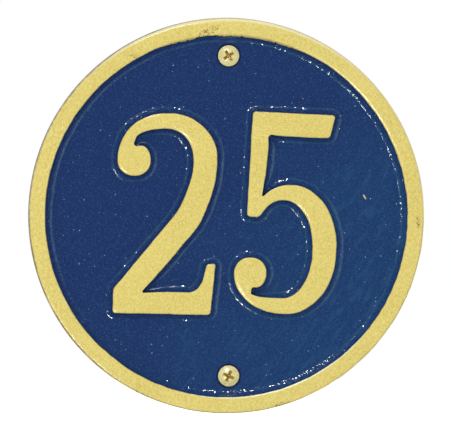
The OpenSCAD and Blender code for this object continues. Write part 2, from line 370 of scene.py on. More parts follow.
def plaque_mesh():
    """The casting: a turned plate, the numerals on it, and the two screw holes."""
    casting = Casting()
    section = plate_section()
    turned = [casting.ring(circle(r, h, 480)) for r, h in section]
    walls = next(k for k, (_, h) in enumerate(section) if h > BARE_WALL)
    casting.wall(turned[:walls + 1], BARE)
    casting.wall(turned[walls:], GLOSS)
    feet = []
    for numeral in NUMERALS:
        shapes = numeral_rings(numeral)
        for shape in shapes:
            shape[:, 2] -= shoulder(0, *NUMERAL_SHOULDER) * smooth_step(shape[:, 2], 6.4, 7.6)
        rings = [casting.ring(shape) for shape in shapes]
        casting.wall(rings, GLOSS)
        face = casting.sheet(rings[-1], [], RIM_HEIGHT, spacing=0.45, coat=GLOSS)
        edge = shapes[-1][:, :2]
        for k in face:
            px, py, _ = casting.points[k]
            inset = math.sqrt(((edge - (px, py)) ** 2).sum(1).min())
            casting.points[k] = (px, py, RIM_HEIGHT - float(shoulder(inset, *NUMERAL_SHOULDER)))
        feet.append(rings[0])
    depth = (MOUTH_RADIUS - HOLE_RADIUS) / math.tan(HEAD_ANGLE / 2)
    hole_section = [
        (MOUTH_RADIUS + 0.16, FIELD_HEIGHT), (MOUTH_RADIUS + 0.04, FIELD_HEIGHT - 0.03),
        (MOUTH_RADIUS - 0.09, FIELD_HEIGHT - 0.13), (HOLE_RADIUS, FIELD_HEIGHT - depth), (HOLE_RADIUS, 0),
    ]
    mouths, exits = [], []
    for x, y, _ in SCREW_PLACES.values():
        rings = [casting.ring(circle(r, h, 72, (x, y))) for r, h in hole_section]
        casting.wall(rings[:4], DULL)
        casting.wall(rings[3:], BARE)
        mouths.append(rings[0])
        exits.append(rings[-1])
    casting.sheet(turned[-1], feet + mouths, FIELD_HEIGHT, spacing=1.2, coat=GLOSS)
    casting.sheet(turned[0], exits, 0, spacing=3.5, coat=BARE, up=False)
    mesh = bpy.data.meshes.new("plaque_casting")
    mesh.from_pydata(upright(cast_unevenly(casting.points)).tolist(), [], casting.faces)
    mesh.polygons.foreach_set("material_index", casting.coats)
    mesh.validate()
    mesh.shade_smooth()
    mesh.set_sharp_from_angle(angle=math.radians(38))
    return mesh


# Nodes


class Wiring:
    """Adds nodes to one tree. A socket given as a value is linked, and anything else is set."""

    def __init__(self, tree):
        self.tree = tree

    def plug(self, socket, value):
        if isinstance(value, bpy.types.NodeSocket):
            self.tree.links.new(value, socket)
        else:
            socket.default_value = value

    def add(self, kind, values=None, **settings):
        made = self.tree.nodes.new(kind)
        for name, value in settings.items():
            setattr(made, name, value)
        for key, value in (values or {}).items():
            self.plug(made.inputs[key], value)
        return made

    def math(self, operation, *values):
        return self.add("ShaderNodeMath", dict(enumerate(values)), operation=operation).outputs[0]

    def plus(self, a, b):
        return self.math("ADD", a, b)

    def minus(self, a, b):
        return self.math("SUBTRACT", a, b)

    def times(self, a, b):
        return self.math("MULTIPLY", a, b)

    def vector(self, operation, *values):
        made = self.add("ShaderNodeVectorMath", operation=operation)
        for k, value in enumerate(values):
            self.plug(made.inputs["Scale" if operation == "SCALE" and k == 1 else k], value)
        return made.outputs["Value" if operation in ("LENGTH", "DOT_PRODUCT") else "Vector"]

    def noise(self, place, size, detail=2.0, rough=0.5):
        scale = self.math("DIVIDE", 1.0, size) if isinstance(size, bpy.types.NodeSocket) else 1 / size
        values = {"Vector": place, "Scale": scale, "Detail": detail, "Roughness": rough}
        return self.add("ShaderNodeTexNoise", values, noise_dimensions="3D").outputs[0]

    def step(self, value, low, high, start=0.0, end=1.0):
        values = {"Value": value, "From Min": low, "From Max": high, "To Min": start, "To Max": end}
        return self.add("ShaderNodeMapRange", values, interpolation_type="SMOOTHSTEP").outputs[0]

    def blend(self, share, a, b):
        return self.add("ShaderNodeMix", {0: share, 6: a, 7: b}, data_type="RGBA").outputs[2]

    def between(self, share, a, b):
        return self.add("ShaderNodeMix", {0: share, 2: a, 3: b}, data_type="FLOAT").outputs[0]

    def split(self, place):
        return self.add("ShaderNodeSeparateXYZ", {0: place}).outputs

    def join(self, x, y, z):
        return self.add("ShaderNodeCombineXYZ", {0: x, 1: y, 2: z}).outputs[0]

    def turn(self, place, angle):
        """A place turned about the axis across the plaque's face."""
        values = {"Vector": place, "Angle": angle}
        return self.add("ShaderNodeVectorRotate", values, rotation_type="Y_AXIS").outputs[0]

    def millimetres(self):
        """The place on the piece, in millimetres."""
        return self.vector("SCALE", self.add("ShaderNodeTexCoord").outputs["Object"], 1000.0)


def shade(r, g, b):
    """A paint's colour, given as it looks from 0 to 255."""
    linear = [(c / 255 / 12.92 if c <= 10 else ((c / 255 + 0.055) / 1.055) ** 2.4) for c in (r, g, b)]
    return (*linear, 1.0)


def new_group(name, inputs, outputs):
    """An empty shader group with its inputs' values, which may be a place, and its outputs."""
    tree = bpy.data.node_groups.new(name, "ShaderNodeTree")
    for label, value in inputs.items():
        kind = "NodeSocketVector" if isinstance(value, tuple) else "NodeSocketFloat"
        socket = tree.interface.new_socket(label, in_out="INPUT", socket_type=kind)
        socket.default_value = value
    for label in outputs:
        tree.interface.new_socket(label, in_out="OUTPUT", socket_type="NodeSocketFloat")
    wiring = Wiring(tree)
    source = wiring.add("NodeGroupInput").outputs
    sink = wiring.add("NodeGroupOutput").inputs
    return wiring, source, sink


def sand_skin_group():
    """Skin of a sand casting: broad lumps and fine grain, as a height and as a mottle."""
    w, source, sink = new_group(
        "sand_skin",
        {"Place": (0.0, 0.0, 0.0), "Lump size": 3.0, "Lump height": 0.02, "Grain size": 0.5,
         "Grain height": 0.005},
        ["Height", "Mottle"],
    )
    lumps = w.minus(w.noise(source["Place"], source["Lump size"], 1.0), 0.5)
    grain = w.minus(w.noise(source["Place"], source["Grain size"], 3.0, 0.6), 0.5)
    height = w.plus(w.times(lumps, source["Lump height"]), w.times(grain, source["Grain height"]))
    w.plug(sink["Height"], height)
    w.plug(sink["Mottle"], w.plus(grain, w.times(lumps, 0.6)))
    return w.tree


def pin_spots_group():
    """Small round spots scattered over a surface."""
    w, source, sink = new_group(
        "pin_spots",
        {"Place": (0.0, 0.0, 0.0), "Spacing": 5.0, "Radius": 0.2, "Share": 0.3, "Shift": 0.0,
         "Rarity of strong ones": 0.3},
        ["Mask"],
    )
    shifted = w.vector("ADD", source["Place"], w.join(source["Shift"], source["Shift"], source["Shift"]))
    values = {"Vector": shifted, "Scale": w.math("DIVIDE", 1.0, source["Spacing"])}
    cells = w.add("ShaderNodeTexVoronoi", values, voronoi_dimensions="3D").outputs
    distance = w.times(cells["Distance"], source["Spacing"])
    chance, size, _ = w.split(cells["Color"])
    radius = w.times(source["Radius"], w.plus(0.5, size))
    spot = w.step(distance, radius, w.times(radius, 0.6))
    strength = w.math("POWER", w.math("DIVIDE", chance, source["Share"]), source["Rarity of strong ones"])
    chosen = w.times(strength, w.math("LESS_THAN", chance, source["Share"]))
    w.plug(sink["Mask"], w.times(spot, chosen))
    return w.tree


def worn_spot_group():
    """One ragged spot at a place, as an oval with its half width and half height."""
    w, source, sink = new_group(
        "worn_spot",
        {"Place": (0.0, 0.0, 0.0), "Middle": (0.0, 0.0, 0.0), "Half sizes": (1.0, 9.0, 1.0), "Turn": 0.0,
         "Raggedness": 0.6, "Grain size": 0.6},
        ["Mask"],
    )
    local = w.vector("SUBTRACT", source["Place"], source["Middle"])
    away = w.vector("LENGTH", w.vector("DIVIDE", w.turn(local, source["Turn"]), source["Half sizes"]))
    ragged = w.minus(w.noise(source["Place"], source["Grain size"], 3.0, 0.6), 0.5)
    edge = w.plus(away, w.times(ragged, w.times(source["Raggedness"], 2.0)))
    w.plug(sink["Mask"], w.step(edge, 1.05, 0.85))
    return w.tree


SAND_SKIN = sand_skin_group()
PIN_SPOTS = pin_spots_group()
WORN_SPOT = worn_spot_group()


def use(w, group, **values):
    """Places a group; underscores in the names stand for spaces."""
    made = w.add("ShaderNodeGroup", node_tree=group)
    for name, value in values.items():
        w.plug(made.inputs[name.replace("_", " ")], value)
    return made.outputs


def empty_material(name):
    material = bpy.data.materials.new(name)
    material.use_nodes = True
    material.node_tree.nodes.clear()
    return material, Wiring(material.node_tree)


def new_material(name):
    """A material with one shader, and the shader's sockets."""
    material, w = empty_material(name)
    surface = w.add("ShaderNodeBsdfPrincipled")
    w.add("ShaderNodeOutputMaterial", {"Surface": surface.outputs[0]})
    return material, w, surface.inputs


def raise_skin(w, surface, height, normal=None):
    """Bumps a surface by a height in millimetres."""
    bump = w.add("ShaderNodeBump", {"Distance": 0.001, "Height": height})
    if normal is not None:
        w.plug(bump.inputs["Normal"], normal)
    w.plug(surface["Normal"], bump.outputs[0])


def largest(w, *masks):
    most = masks[0]
    for mask in masks[1:]:
        most = w.math("MAXIMUM", most, mask)
    return most


def by_screws(w, place):
    """Distance from the axis of the nearer screw, and height above the back."""
    x, y, z = w.split(place)
    across = w.minus(x, SCREW_OFFSET)
    up = w.minus(w.math("ABSOLUTE", z), SCREW_RISE)
    return w.vector("LENGTH", w.join(across, 0.0, up)), w.times(y, -1.0)


# Paint, in millimetres: where the gold ends on a wall, how much lower it ran at the top of the rim, its
# thickness, the scuffs on the rim, as x, z, half width, half height and turn, and the blue's facets
GOLD_LINE = 7.66
GOLD_RUN = 1.2
GOLD_THICKNESS = 0.03
RIM_SCUFFS = [
    (-7.2, 70.9, 4.6, 1.5, 0.45), (-35.5, 61.6, 1.9, 0.9, -0.2), (73.7, -2.6, 0.7, 2.6, 0.1),
    (21.0, -72.2, 3.4, 0.6, 0.28),
]
FACETS_A_MILLIMETRE = 2.2
FACET_TILT = 0.34


def gold_line(w, place, x, z, radius):
    """The height at which the gold ends, and a mask of where it ran down the rim's inner wall."""
    wander = w.minus(w.noise(place, 3.0), 0.5)
    tooth = w.minus(w.noise(place, 0.9, 3.0), 0.5)
    line = w.plus(GOLD_LINE, w.plus(w.times(wander, 0.4), w.times(tooth, 0.3)))
    line = w.minus(line, w.times(w.step(radius, 73.0, 74.0), 0.6))
    off_middle = w.math("ABSOLUTE", w.minus(x, 2.0))
    at_top = w.times(w.step(z, 50.0, 60.0), w.step(off_middle, 30.0, 20.0))
    off_gap = w.plus(w.math("ABSOLUTE", w.plus(x, 7.5)), w.times(tooth, 3.0))
    misses = w.step(w.noise(w.join(x, 0.0, z), 1.3, 3.0), 0.5, 0.66, 0.0, 0.8)
    run = w.times(at_top, w.minus(1.0, largest(w, w.step(off_gap, 5.2, 3.4), misses)))
    return w.minus(line, w.times(run, GOLD_RUN)), run


def blue_paint(w, place, x, z, height, in_fillet):
    """The blue enamel's colour, with painted sheen, reflection and glints, and the height of its skin."""
    skin = use(w, SAND_SKIN, Place=place, Lump_size=0.8, Lump_height=0.042, Grain_size=0.5,
               Grain_height=0.008)

    # Painted sheen of the right-hand lamp: greener and lighter towards the lower right
    sheen_drift = w.plus(w.times(x, 0.6), w.times(z, -0.45))
    sheen_drift = w.plus(sheen_drift, w.times(w.minus(w.noise(place, 26.0, 3.0), 0.5), 60.0))
    blue = w.blend(w.step(sheen_drift, -20.0, 50.0), shade(26, 52, 105), shade(26, 63, 113))

    # Painted reflection: a lighter teal line at the fillets' foot, except at the bottom and low on the left
    fillet_sheen = w.times(w.step(height, 5.0, 5.06), w.step(height, 5.5, 5.12))
    lean = w.plus(w.times(x, 0.35), w.times(z, 0.9))
    fillet_sheen = w.times(fillet_sheen, w.step(lean, -52.0, -28.0))
    fillet_sheen = w.times(fillet_sheen, w.step(w.noise(place, 5.0), 0.3, 0.7, 0.3, 0.6))
    blue = w.blend(fillet_sheen, blue, shade(48, 92, 126))

    # Mottle, and slanting ripples on the right, lighter where the painted sheen lies
    blue = w.blend(w.step(skin["Mottle"], 0.02, 0.3), blue, shade(48, 86, 132))
    blue = w.blend(w.step(skin["Mottle"], -0.02, -0.3), blue, shade(16, 42, 94))
    ripples = w.noise(w.vector("MULTIPLY", w.turn(place, 1.0), (0.3, 1.0, 1.0)), 2.6, 2.0)
    ripples = w.times(w.step(ripples, 0.48, 0.7), w.step(sheen_drift, -10.0, 50.0, 0.0, 0.5))
    blue = w.blend(ripples, blue, shade(40, 86, 130))

    # Painted glints on specks, more of them in the fillet of the rim on the right, and one chip
    glints = use(w, PIN_SPOTS, Place=place, Spacing=2.0, Radius=0.2, Share=0.8, Shift=40.0,
                 Rarity_of_strong_ones=3.5)["Mask"]
    right_fillet_glints = use(w, PIN_SPOTS, Place=place, Spacing=1.5, Radius=0.2, Share=0.28, Shift=12.0,
                   Rarity_of_strong_ones=1.5)["Mask"]
    on_right = w.times(in_fillet, w.step(x, 15.0, 55.0))
    glints = largest(w, glints, w.times(right_fillet_glints, on_right))
    blue = w.blend(glints, blue, shade(208, 232, 242))
    chip = use(w, WORN_SPOT, Place=place, Middle=(53.2, -5.0, 7.3), Half_sizes=(0.36, 9.0, 1.0), Turn=0.55,
               Raggedness=0.6, Grain_size=0.8)["Mask"]
    return w.blend(chip, blue, shade(206, 184, 140)), w.plus(skin["Height"], w.times(glints, 0.04))


def painted_edge_highlights(w, x, z, radius):
    """Painted highlights along the rim's outer edge at the top and along its inner edge low on the right.
    """
    outer = w.times(w.step(radius, 74.7, 75.2), w.step(z, 46.0, 75.0, 0.0, 0.65))
    inner = w.times(w.step(radius, 69.3, 69.5), w.step(radius, 70.25, 69.95))
    low_right = w.plus(w.times(x, 0.0045), w.times(z, -0.0135))
    return largest(w, outer, w.times(inner, w.step(low_right, 0.82, 0.95, 0.0, 0.85)))


def gold_paint(w, place, x, z, height, radius, line, run):
    """The gold enamel's colour and the height of its skin."""
    skin = use(w, SAND_SKIN, Place=place, Lump_size=2.2, Lump_height=0.02, Grain_size=0.55,
               Grain_height=0.025)
    gold = w.blend(w.step(w.noise(place, 14.0, 2.0), 0.3, 0.7), shade(235, 211, 112), shade(241, 218, 121))

    # Fine flakes, and the uneven film that the roller left
    flakes = w.noise(place, 0.3, 1.0)
    gold = w.blend(w.step(flakes, 0.5, 0.25), gold, shade(202, 180, 84))
    gold = w.blend(w.step(flakes, 0.5, 0.75), gold, shade(246, 235, 156))
    rolled = w.noise(w.vector("MULTIPLY", place, (1.0, 1.0, 0.7)), 1.0, 3.0)
    on_rim = w.step(radius, 66.0, 67.0, 0.25, 0.4)
    gold = w.blend(w.times(w.step(rolled, 0.5, 0.3), on_rim), gold, shade(210, 187, 96))
    gold = w.blend(w.times(w.step(rolled, 0.5, 0.7), on_rim), gold, shade(243, 230, 152))

    # Pits and scuffs
    pits = use(w, PIN_SPOTS, Place=place, Spacing=4.2, Radius=0.2, Share=0.22)["Mask"]
    scuff = largest(w, *[
        use(w, WORN_SPOT, Place=place, Middle=(sx, -RIM_HEIGHT, sz), Half_sizes=(half_x, 9.0, half_z),
            Turn=turn, Raggedness=0.6, Grain_size=1.3)["Mask"]
        for sx, sz, half_x, half_z, turn in RIM_SCUFFS
    ])
    crumbs = w.step(w.noise(place, 0.5, 1.0), 0.56, 0.6)
    scuffed = w.times(scuff, w.plus(0.08, w.times(crumbs, 0.9)))
    gold = w.blend(largest(w, w.times(pits, 0.7), scuffed), gold, shade(116, 82, 36))

    # Rubbed off the outer edge on the left, and darker where it ends on a wall
    rubbed = w.times(w.step(height, 8.1, 7.7), w.step(radius, 73.0, 73.5))
    rubbed = w.times(rubbed, w.step(w.noise(place, 1.4, 3.0), 0.38, 0.56, 0.25, 1.0))
    leftward = w.plus(w.times(x, -0.75), w.times(z, -0.2))
    rubbed = w.times(rubbed, w.step(leftward, -30.0, 35.0, 0.0, 0.9))
    gold = w.blend(rubbed, gold, shade(128, 110, 84))
    # Partly thin gold and partly painted shade on the rounded edge where the gold ends
    thin_gold_and_edge_shade = w.step(w.minus(height, line), 0.3, 0.05, 0.0, 0.55)
    thin_gold_and_edge_shade = w.times(thin_gold_and_edge_shade, w.minus(1.0, w.times(run, 0.9)))
    gold = w.blend(thin_gold_and_edge_shade, gold, shade(132, 106, 52))
    # Painted highlights in pale gold on the rim's edges
    gold = w.blend(painted_edge_highlights(w, x, z, radius), gold, shade(255, 249, 208))
    return gold, w.plus(w.times(pits, -0.05), skin["Height"])


def painted_face():
    """Blue gloss enamel over the whole front, with gold enamel rolled onto what stands up."""
    material, w, surface = new_material("blue_and_gold_enamel")
    place = w.millimetres()
    x, y, z = w.split(place)
    height = w.times(y, -1.0)
    radius = w.vector("LENGTH", w.join(x, 0.0, z))
    in_fillet = w.times(w.step(height, 4.99, 5.1), w.step(height, 7.6, 6.6))
    line, run = gold_line(w, place, x, z, radius)
    gold = w.step(w.minus(height, line), -0.04, 0.04)
    blue_tone, blue_skin = blue_paint(w, place, x, z, height, in_fillet)
    gold_tone, gold_skin = gold_paint(w, place, x, z, height, radius, line, run)
    w.plug(surface["Base Color"], w.blend(gold, blue_tone, gold_tone))

    # Gloss of the blue, satin of the gold
    w.plug(surface["Roughness"], w.between(gold, 0.07, 0.2))
    surface["Specular IOR Level"].default_value = 1.0

    # In the fillets the blue dried in small facets, which break its gloss into beads of light
    skin = w.between(gold, blue_skin, w.plus(gold_skin, GOLD_THICKNESS))
    values = {"Vector": place, "Scale": FACETS_A_MILLIMETRE}
    cells = w.add("ShaderNodeTexVoronoi", values, voronoi_dimensions="3D").outputs
    tilt = w.vector("SUBTRACT", cells["Color"], (0.5, 0.5, 0.5))
    tilt = w.vector("SCALE", tilt, w.times(in_fillet, w.minus(1.0, gold)))
    smooth = w.add("ShaderNodeNewGeometry").outputs["Normal"]
    faceted = w.vector("NORMALIZE", w.vector("ADD", smooth, w.vector("SCALE", tilt, FACET_TILT)))
    raise_skin(w, surface, skin, faceted)
    return material


def dull_enamel():
    """Blue enamel that dried dull in the mouths of the screw holes, painted darker there as shade."""
    material, w, surface = new_material("dull_shaded_blue_enamel")
    skin = use(w, SAND_SKIN, Place=w.millimetres(), Lump_size=1.0, Lump_height=0.03)
    # Painted shade: a darker blue than the field's
    shaded_mottle = w.blend(w.step(skin["Mottle"], -0.3, 0.3), shade(14, 30, 70), shade(22, 42, 84))
    w.plug(surface["Base Color"], shaded_mottle)
    surface["Roughness"].default_value = 0.6
    surface["Specular IOR Level"].default_value = 0.15
    raise_skin(w, surface, skin["Height"])
    return material


def bare_casting():
    """Bare cast metal of the back and the outer wall, which has a mist of gold except on its left."""
    material, w, surface = new_material("bare_cast_metal")
    place = w.millimetres()
    x, y, _ = w.split(place)
    height = w.times(y, -1.0)
    skin = use(w, SAND_SKIN, Place=place, Lump_size=2.6, Lump_height=0.09, Grain_size=0.5,
               Grain_height=0.05)
    metal = w.blend(w.step(skin["Mottle"], -0.3, 0.4), shade(168, 166, 160), shade(206, 204, 198))
    pits = use(w, PIN_SPOTS, Place=place, Spacing=2.4, Radius=0.3, Share=0.35)["Mask"]
    metal = w.blend(w.times(pits, 0.7), metal, shade(84, 78, 70))
    on_wall = w.step(height, 0.15, 0.5)
    wall = w.blend(w.step(skin["Mottle"], -0.2, 0.3), shade(64, 48, 40), shade(116, 98, 86))
    metal = w.blend(on_wall, metal, wall)
    speckle = w.times(w.minus(w.noise(place, 0.6, 2.0), 0.5), 5.0)
    side = w.step(x, -50.0, 5.0)
    misted = w.plus(w.plus(height, speckle), w.times(side, 4.6))
    mist = w.times(w.step(misted, 4.6, 7.2), on_wall)
    w.plug(surface["Base Color"], w.blend(mist, metal, shade(220, 200, 112)))
    w.plug(surface["Metallic"], w.times(w.minus(1.0, mist), w.between(on_wall, 0.85, 0.2)))
    w.plug(surface["Roughness"], w.between(w.step(skin["Mottle"], -0.3, 0.3), 0.62, 0.45))
    raise_skin(w, surface, w.minus(skin["Height"], w.times(pits, 0.08)))
    return material


def screw_brass():
    """Pale lacquered brass with driver's scratches; painted shade in the recess and under the head."""
    material, w, surface = new_material("lacquered_brass")
    place = w.millimetres()
    from_axis, height = by_screws(w, place)
    smear = w.noise(place, 2.0, 3.0)
    streaks = w.noise(w.vector("MULTIPLY", place, (1.0, 1.0, 7.0)), 1.4, 3.0)
    tone = w.blend(w.step(smear, 0.35, 0.7), shade(255, 248, 188), shade(246, 228, 150))
    # Painted light: paler towards the rim of the dome, where less light reaches and is reflected
    tone = w.blend(w.step(from_axis, 2.9, 3.6, 0.0, 0.7), tone, shade(255, 246, 184))
    tone = w.blend(w.step(streaks, 0.5, 0.7, 0.0, 0.75), tone, shade(204, 178, 104))
    spots = use(w, PIN_SPOTS, Place=place, Spacing=1.6, Radius=0.14, Share=0.3)["Mask"]
    tone = w.blend(w.times(spots, 0.6), tone, shade(140, 112, 60))
    square = w.times(from_axis, from_axis)
    dome = w.minus(w.math("SQRT", w.minus(DOME_RADIUS ** 2, square)), DOME_RADIUS - SCREW_TOP)
    recess_shade = w.times(w.step(w.minus(dome, height), 0.1, 0.4), w.math("LESS_THAN", from_axis, 3.2))
    # Painted shade: darker ochre in the recess
    tone = w.blend(w.times(recess_shade, w.math("GREATER_THAN", height, 3.0)), tone, shade(214, 178, 48))
    on_thread = w.step(height, THREAD_TOP + 0.6, THREAD_TOP - 0.3)
    root = w.times(on_thread, w.step(from_axis, 1.95, 1.5))
    tone = w.blend(w.times(root, 0.8), tone, shade(138, 112, 58))
    # Painted shade under the head, which dims its reflection in the mouth of the hole
    under_head_shade = w.times(w.step(height, HEAD_RIM - 0.1, HEAD_RIM - 0.4), w.step(from_axis, 2.7, 3.0))
    tone = w.blend(under_head_shade, tone, shade(90, 82, 58))
    w.plug(surface["Base Color"], tone)
    surface["Metallic"].default_value = 0.1
    surface["Coat Weight"].default_value = 1.0
    surface["Coat Roughness"].default_value = 0.28
    surface["Coat IOR"].default_value = 2.0
    rough = w.plus(w.step(smear, 0.3, 0.7, 0.24, 0.34), w.step(streaks, 0.55, 0.75, 0.0, 0.1))
    w.plug(surface["Roughness"], rough)
    skin = use(w, SAND_SKIN, Place=place, Lump_size=1.1, Lump_height=0.012, Grain_size=0.25,
               Grain_height=0.004)
    raise_skin(w, surface, skin["Height"])
    return material


# Objects and geometry trees


def as_object(name, data):
    """A new object of the scene, from a mesh, a bmesh, a light or a camera."""
    if isinstance(data, bmesh.types.BMesh):
        mesh = bpy.data.meshes.new(name)
        data.to_mesh(mesh)
        data.free()
        data = mesh
    made = bpy.data.objects.new(name, data)
    bpy.context.scene.collection.objects.link(made)
    return made


def new_tree(name, inputs, takes_mesh=False):
    """An empty geometry tree with its inputs' values, where None stands for a material."""
    tree = bpy.data.node_groups.new(name, "GeometryNodeTree")
    if takes_mesh:
        tree.interface.new_socket("Mesh", in_out="INPUT", socket_type="NodeSocketGeometry")
    for label, value in inputs.items():
        kind = {float: "Float", int: "Int"}.get(type(value), "Material")
        socket = tree.interface.new_socket(label, in_out="INPUT", socket_type="NodeSocket" + kind)
        if value is not None:
            socket.default_value = value
    tree.interface.new_socket("Mesh", in_out="OUTPUT", socket_type="NodeSocketGeometry")
    wiring = Wiring(tree)
    return wiring, wiring.add("NodeGroupInput").outputs, wiring.add("NodeGroupOutput").inputs


def thread_tree():
    """A screw's thread: one rib wound round the core, which tapers with the point."""
    w, source, sink = new_tree("screw_thread", {
        "Crest radius": CREST_RADIUS, "Core radius": CORE_RADIUS, "Pitch": PITCH, "Turns": 12,
        "Steps a turn": 40, "Point length": POINT_LENGTH, "Brass": None,
    })
    steps = w.times(source["Turns"], source["Steps a turn"])
    count = w.plus(steps, 1.0)
    row = 5
    grid = w.add("GeometryNodeMeshGrid", {"Vertices X": count, "Vertices Y": row})
    index = w.add("GeometryNodeInputIndex").outputs[0]
    along = w.math("FLOOR", w.math("DIVIDE", w.plus(index, 0.5), float(row)))
    across = w.minus(index, w.times(along, float(row)))
    across = w.times(across, w.math("LESS_THAN", across, 3.5))
    angle = w.times(w.math("DIVIDE", along, source["Steps a turn"]), -2 * math.pi)
    down = w.times(w.math("DIVIDE", along, source["Steps a turn"]), source["Pitch"])
    left = w.minus(w.times(source["Turns"], source["Pitch"]), down)
    taper = w.math("MAXIMUM", 0.1, w.math("MINIMUM", 1.0, w.math("DIVIDE", left, source["Point length"])))
    run_in = w.math("DIVIDE", along, w.times(source["Steps a turn"], 0.8))
    run_out = w.math("DIVIDE", w.minus(steps, along), w.times(source["Steps a turn"], 0.5))
    grown = w.math("MINIMUM", 1.0, w.math("MINIMUM", run_in, run_out))
    crest = w.math("LESS_THAN", w.math("ABSOLUTE", w.minus(across, 1.5)), 1.0)
    sign = w.minus(w.times(w.math("GREATER_THAN", across, 1.5), 2.0), 1.0)
    half = w.times(w.between(crest, 0.36, 0.05), w.times(source["Pitch"], sign))
    base = w.times(w.minus(source["Core radius"], 0.12), taper)
    proud = w.times(w.minus(source["Crest radius"], source["Core radius"]), taper)
    proud = w.times(w.plus(proud, 0.12), grown)
    away = w.plus(base, w.times(crest, proud))
    level = w.minus(w.times(half, w.times(grown, w.between(taper, 0.5, 1.0))), down)
    place = w.join(w.times(away, w.math("COSINE", angle)), w.times(away, w.math("SINE", angle)), level)
    wound = w.add("GeometryNodeSetPosition", {"Geometry": grid.outputs["Mesh"], "Position": place})
    merged = w.add("GeometryNodeMergeByDistance", {"Geometry": wound.outputs[0], "Distance": 0.001})
    real = w.add("GeometryNodeRealizeInstances", {"Geometry": merged.outputs[0]})
    brass = w.add("GeometryNodeSetMaterial", {"Geometry": real.outputs[0], "Material": source["Brass"]})
    w.plug(sink["Mesh"], brass.outputs[0])
    return w.tree


def sand_grain_tree():
    """Grains of sand caught under the paint of the field."""
    w, source, sink = new_tree("sand_grains", {
        "Grains a square metre": 90000.0, "Grain radius": 0.00016, "Field depth": -0.0079, "Seed": 7,
        "Paint": None,
    }, takes_mesh=True)
    place = w.add("GeometryNodeInputPosition").outputs[0]
    _, y, _ = w.split(place)
    normal = w.add("GeometryNodeInputNormal").outputs[0]
    _, facing, _ = w.split(normal)
    below = w.math("GREATER_THAN", y, source["Field depth"])
    front = w.math("LESS_THAN", facing, -0.2)
    chosen = w.times(w.times(below, front), w.math("LESS_THAN", y, -0.0045))
    scattered = w.add("GeometryNodeDistributePointsOnFaces", {
        "Mesh": source["Mesh"], "Selection": chosen, "Density": source["Grains a square metre"],
        "Seed": source["Seed"],
    }, distribute_method="RANDOM")
    grain = w.add("GeometryNodeMeshIcoSphere", {"Radius": source["Grain radius"], "Subdivisions": 1})
    sizes = {"Min": 0.35, "Max": 1.25, "Seed": source["Seed"]}
    size = w.add("FunctionNodeRandomValue", sizes, data_type="FLOAT")
    placed = w.add("GeometryNodeInstanceOnPoints", {
        "Points": scattered.outputs["Points"], "Instance": grain.outputs[0],
        "Rotation": scattered.outputs["Rotation"], "Scale": size.outputs[1],
    })
    real = w.add("GeometryNodeRealizeInstances", {"Geometry": placed.outputs[0]})
    paint = w.add("GeometryNodeSetMaterial", {"Geometry": real.outputs[0], "Material": source["Paint"]})
    w.plug(sink["Mesh"], paint.outputs[0])
    return w.tree


def grown_mesh(name, tree, start, values):
    """The plain mesh that a tree makes on a start mesh, with its inputs set by their identifiers."""
    carrier = as_object(name, start)
    modifier = carrier.modifiers.new(name, "NODES")
    modifier.node_group = tree
    for item in tree.interface.items_tree:
        if item.item_type == "SOCKET" and item.in_out == "INPUT" and item.name in values:
            modifier[item.identifier] = values[item.name]
    carrier.update_tag()
    depsgraph = bpy.context.evaluated_depsgraph_get()
    made = bpy.data.meshes.new_from_object(carrier.evaluated_get(depsgraph))
    bpy.data.objects.remove(carrier)
    return made


# Screws


def lathe(section, count):
    """A closed turned mesh from a section of radius and height that starts and ends on the axis."""
    mesh = bmesh.new()
    rings = []
    for radius, height in section:
        if radius < 1e-6:
            rings.append([mesh.verts.new((0, 0, height))] * count)
        else:
            rings.append([mesh.verts.new(p) for p in circle(radius, height, count)])
    for a, b in zip(rings, rings[1:]):
        for i in range(count):
            j = (i + 1) % count
            corners = list(dict.fromkeys((a[i], a[j], b[j], b[i])))
            if len(corners) > 2:
                mesh.faces.new(corners)
    return mesh


def screw_blank():
    """A screw without its recess and its thread, turned from its point up to its dome."""
    cone_height = (HEAD_RADIUS - NECK_RADIUS) / math.tan(HEAD_ANGLE / 2)
    half_dome = math.asin(HEAD_RADIUS / DOME_RADIUS)
    middle = SCREW_TOP - DOME_RADIUS
    dome = [
        (DOME_RADIUS * math.sin(half_dome * k / 20), middle + DOME_RADIUS * math.cos(half_dome * k / 20))
        for k in range(20, -1, -1)
    ]
    section = [
        (0, TIP), (0.12, TIP + 0.05), (0.2, TIP + 0.3), (CORE_RADIUS, TIP + POINT_LENGTH),
        (CORE_RADIUS, THREAD_TOP - 0.4), (NECK_RADIUS, THREAD_TOP),
        (NECK_RADIUS, HEAD_RIM - cone_height - 0.15), (NECK_RADIUS + 0.12, HEAD_RIM - cone_height + 0.12),
        (HEAD_RADIUS - 0.05, HEAD_RIM - 0.05), (HEAD_RADIUS, HEAD_RIM + 0.02), *dome,
    ]
    return lathe(section, 96)


def recess_arm(turn):
    """One bar of the cross recess, narrower at its bottom."""
    depth, span, width = 2.3, 5.4, 1.2
    wall = 0.8 * depth
    flare = span / 2 + (span / 4) / wall
    outline = [
        (0, SCREW_TOP - depth), (span / 4, SCREW_TOP - wall), (flare, SCREW_TOP + 1),
        (-flare, SCREW_TOP + 1), (-span / 4, SCREW_TOP - wall),
    ]
    mesh = bmesh.new()
    front = [mesh.verts.new((a, -width / 2, b)) for a, b in outline]
    back = [mesh.verts.new((a, width / 2, b)) for a, b in outline]
    mesh.faces.new(front)
    mesh.faces.new(back[::-1])
    for i in range(5):
        j = (i + 1) % 5
        mesh.faces.new((front[j], front[i], back[i], back[j]))
    bmesh.ops.recalc_face_normals(mesh, faces=mesh.faces)
    bmesh.ops.rotate(mesh, verts=mesh.verts, cent=(0, 0, 0), matrix=Matrix.Rotation(turn, 3, "Z"))
    return mesh


